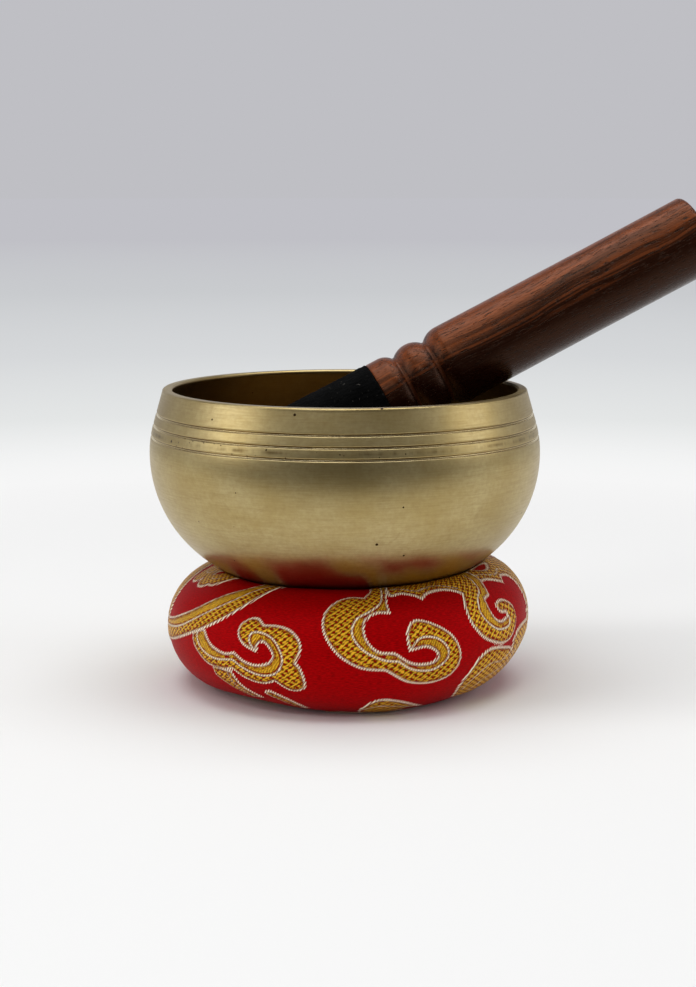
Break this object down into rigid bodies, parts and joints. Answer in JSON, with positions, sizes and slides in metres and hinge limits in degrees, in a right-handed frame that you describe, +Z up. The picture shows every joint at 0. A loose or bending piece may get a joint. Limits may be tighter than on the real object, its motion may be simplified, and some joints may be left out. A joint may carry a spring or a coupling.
{
  "type": "singing bowl",
  "caption": "Cast and turned brass singing bowl with incised rim lines on a stuffed brocade ring cushion, with its turned wooden mallet, suede-wrapped at one end, laid in the bowl.",
  "frame": {"origin": "on the bowl's axis, level with the surface that the ring cushion rests on", "axes": "+Z up along the bowl's axis; the mallet's butt points towards +X, 8 degrees round towards +Y; the usual view is from -Y"},
  "size_m": [0.1473, 0.1, 0.1237],
  "materials": {
    "bowl_brass": "satin",
    "mallet_wood": "oiled",
    "mallet_suede": "suede",
    "cushion_brocade": "woven satin brocade",
    "cushion_fibre": "loose fibre",
    "sewing_thread": "twisted thread"
  },
  "bodies": {
    "cushion": {"cushion_cover": "cushion_brocade", "cushion_filling": "cushion_fibre", "ring_seam_thread": "sewing_thread", "join_seam_thread": "sewing_thread"},
    "bowl": {"bowl": "bowl_brass"},
    "mallet": {"mallet_handle": "mallet_wood", "mallet_wrap": "mallet_suede"}
  },
  "joints": [
    {"name": "bowl_lift", "type": "slide", "parent": "cushion", "child": "bowl", "axis": [0, 0, 1], "range_m": [0, 0.1]},
    {"name": "mallet_draw", "type": "slide", "parent": "bowl", "child": "mallet", "axis": [0.8808, 0.1238, 0.4571], "range_m": [0, 0.11]}
  ]
}
